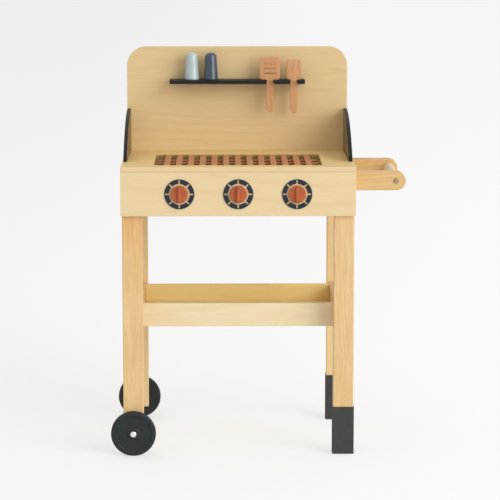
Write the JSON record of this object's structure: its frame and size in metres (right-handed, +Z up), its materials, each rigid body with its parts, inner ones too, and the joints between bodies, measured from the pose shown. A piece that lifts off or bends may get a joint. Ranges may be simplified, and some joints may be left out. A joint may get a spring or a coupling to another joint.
{
  "type": "toy barbecue grill",
  "caption": "Wooden toy barbecue on legs with turning knobs, a lift-out grate, splash panel with shelf and utensils, tray, side handle and wheels on one side.",
  "frame": {"origin": "on the ground, below the middle of the whole object's box, wheels, knobs and handle included", "axes": "+Z up; the knobs face -Y; +X to the right as seen from the front, towards the handle"},
  "size_m": [0.5348, 0.3524, 0.728],
  "materials": {
    "beech": "satin lacquered solid wood",
    "plywood": "satin lacquered pale plywood",
    "panel_plywood": "satin lacquered plywood",
    "navy_paint": "satin dark blue-grey paint",
    "dial_paint": "satin navy paint",
    "terracotta_paint": "satin terracotta paint",
    "pale_terracotta_paint": "matt pale terracotta stain",
    "pale_blue_paint": "satin pale grey-blue paint",
    "slate_blue_paint": "satin slate-blue paint",
    "wheel_rubber": "matt dark rubber",
    "foot_rubber": "matt dark grey rubber",
    "steel": "bright zinc-plated steel",
    "dark_steel": "darkened steel"
  },
  "bodies": {
    "stand": {"left_front_leg": "beech", "left_back_leg": "beech", "right_front_leg": "beech", "right_back_leg": "beech", "front_foot_cap": "foot_rubber", "back_foot_cap": "foot_rubber", "tray_left_stretcher": "beech", "tray_right_stretcher": "beech", "tray_front_rail": "plywood", "tray_back_rail": "plywood", "tray_floor": "plywood", "front_panel": "plywood", "left_side_board": "plywood", "right_side_board": "plywood", "worktop": "plywood", "well_floor": "panel_plywood", "splash_panel": "panel_plywood", "left_wing": "navy_paint", "right_wing": "navy_paint", "left_lower_panel_screw": "steel", "left_upper_panel_screw": "steel", "right_lower_panel_screw": "steel", "right_upper_panel_screw": "steel", "shelf": "navy_paint", "left_shelf_screw": "steel", "right_shelf_screw": "steel", "left_dial_ring": "dial_paint", "middle_dial_ring": "dial_paint", "right_dial_ring": "dial_paint", "front_axle_washer": "steel", "back_axle_washer": "steel", "front_hub_cap": "steel", "back_hub_cap": "steel", "axle_rod": "steel", "front_arm": "beech", "back_arm": "beech", "grip": "beech", "front_grip_bolt": "dark_steel", "back_grip_bolt": "dark_steel", "front_lower_arm_screw": "steel", "front_upper_arm_screw": "steel", "back_lower_arm_screw": "steel", "back_upper_arm_screw": "steel"},
    "grate": {"grate": "terracotta_paint"},
    "light_shaker": {"light_shaker": "pale_blue_paint"},
    "dark_shaker": {"dark_shaker": "slate_blue_paint"},
    "spatula": {"spatula": "pale_terracotta_paint"},
    "fork": {"fork": "pale_terracotta_paint"},
    "left_knob": {"left_knob": "terracotta_paint", "left_knob_spindle": "dark_steel"},
    "middle_knob": {"middle_knob": "terracotta_paint", "middle_knob_spindle": "dark_steel"},
    "right_knob": {"right_knob": "terracotta_paint", "right_knob_spindle": "dark_steel"},
    "front_wheel": {"front_wheel": "wheel_rubber"},
    "back_wheel": {"back_wheel": "wheel_rubber"}
  },
  "joints": [
    {"name": "front_wheel_roll", "type": "hinge", "parent": "stand", "child": "front_wheel", "pos_m": [-0.22637, -0.15957, 0.041], "axis": [0, 1, 0], "continuous": true},
    {"name": "back_wheel_roll", "type": "hinge", "parent": "stand", "child": "back_wheel", "pos_m": [-0.22637, 0.16542, 0.041], "axis": [0, 1, 0], "continuous": true},
    {"name": "left_knob_turn", "type": "hinge", "parent": "stand", "child": "left_knob", "pos_m": [-0.14088, -0.16182, 0.481], "axis": [0, 1, 0], "continuous": true},
    {"name": "middle_knob_turn", "type": "hinge", "parent": "stand", "child": "middle_knob", "pos_m": [-0.03488, -0.16182, 0.481], "axis": [0, 1, 0], "continuous": true},
    {"name": "right_knob_turn", "type": "hinge", "parent": "stand", "child": "right_knob", "pos_m": [0.07112, -0.16182, 0.481], "axis": [0, 1, 0], "continuous": true},
    {"name": "grate_lift", "type": "slide", "parent": "stand", "child": "grate", "axis": [0, 0, 1], "range_m": [0, 0.06]},
    {"name": "light_shaker_lift", "type": "slide", "parent": "stand", "child": "light_shaker", "axis": [0, 0, 1], "range_m": [0, 0.05]},
    {"name": "dark_shaker_lift", "type": "slide", "parent": "stand", "child": "dark_shaker", "axis": [0, 0, 1], "range_m": [0, 0.05]},
    {"name": "spatula_lift", "type": "slide", "parent": "stand", "child": "spatula", "axis": [0, 0, 1], "range_m": [0, 0.07]},
    {"name": "fork_lift", "type": "slide", "parent": "stand", "child": "fork", "axis": [0, 0, 1], "range_m": [0, 0.07]}
  ]
}
